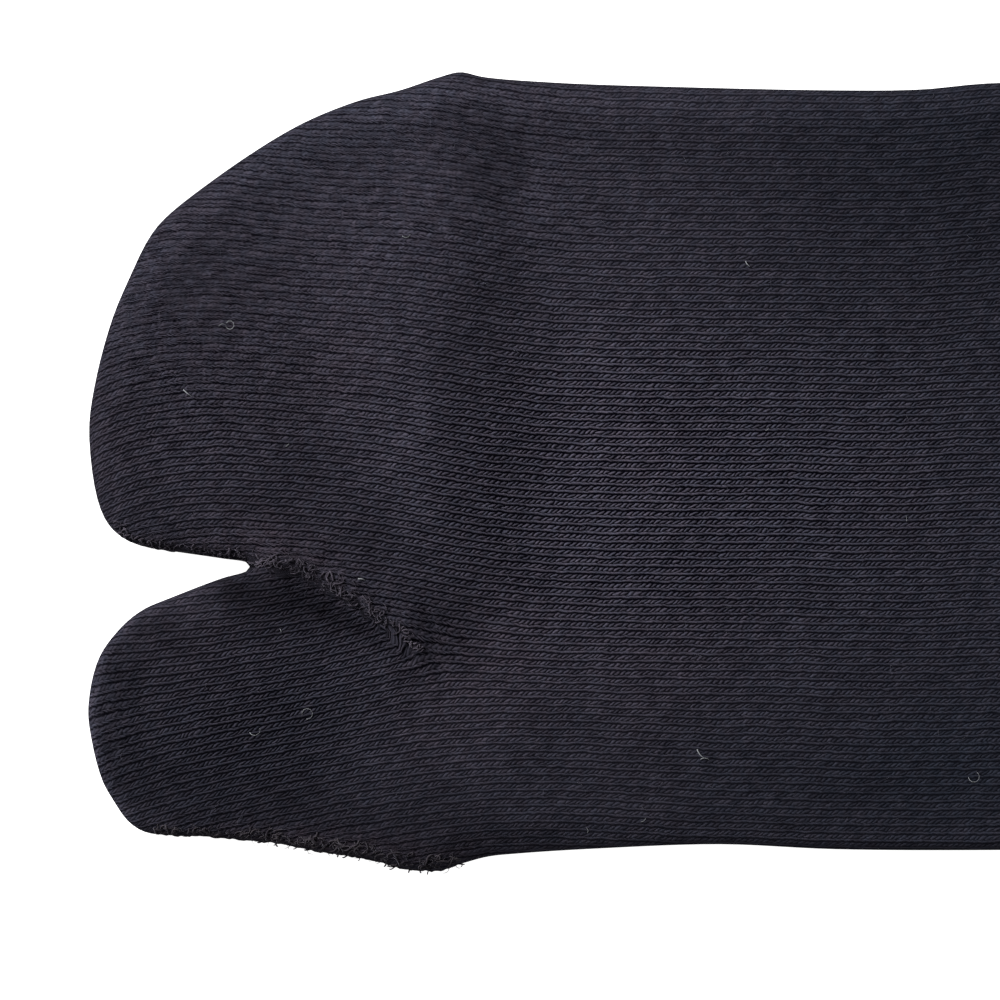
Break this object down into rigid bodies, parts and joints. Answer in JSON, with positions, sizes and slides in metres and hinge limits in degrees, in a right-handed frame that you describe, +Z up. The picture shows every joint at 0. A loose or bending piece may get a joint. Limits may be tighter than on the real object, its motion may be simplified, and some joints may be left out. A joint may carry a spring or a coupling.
{
  "type": "tabi sock",
  "caption": "Dark knitted split-toe sock laid flat with the instep up, with a big-toe pocket, a folded heel and a ribbed cuff.",
  "frame": {"origin": "on the surface the sock lies on, below the middle of its bounding box", "axes": "+X runs from the toes to the cuff, +Y towards the little toe, +Z up out of the surface; the instep is the upper side"},
  "size_m": [0.385, 0.0958, 0.0064],
  "materials": {
    "knit_cotton": "matte plain knit cotton, blue-black charcoal",
    "rib_knit": "matte ribbed cotton, blue-black charcoal",
    "seam_yarn": "matte fuzzy linking yarn, charcoal"
  },
  "bodies": {
    "root": {"sock_body": "knit_cotton", "heel_pocket": "knit_cotton", "cuff": "rib_knit", "split_seam": "seam_yarn", "big_toe_seam": "seam_yarn"}
  },
  "joints": []
}
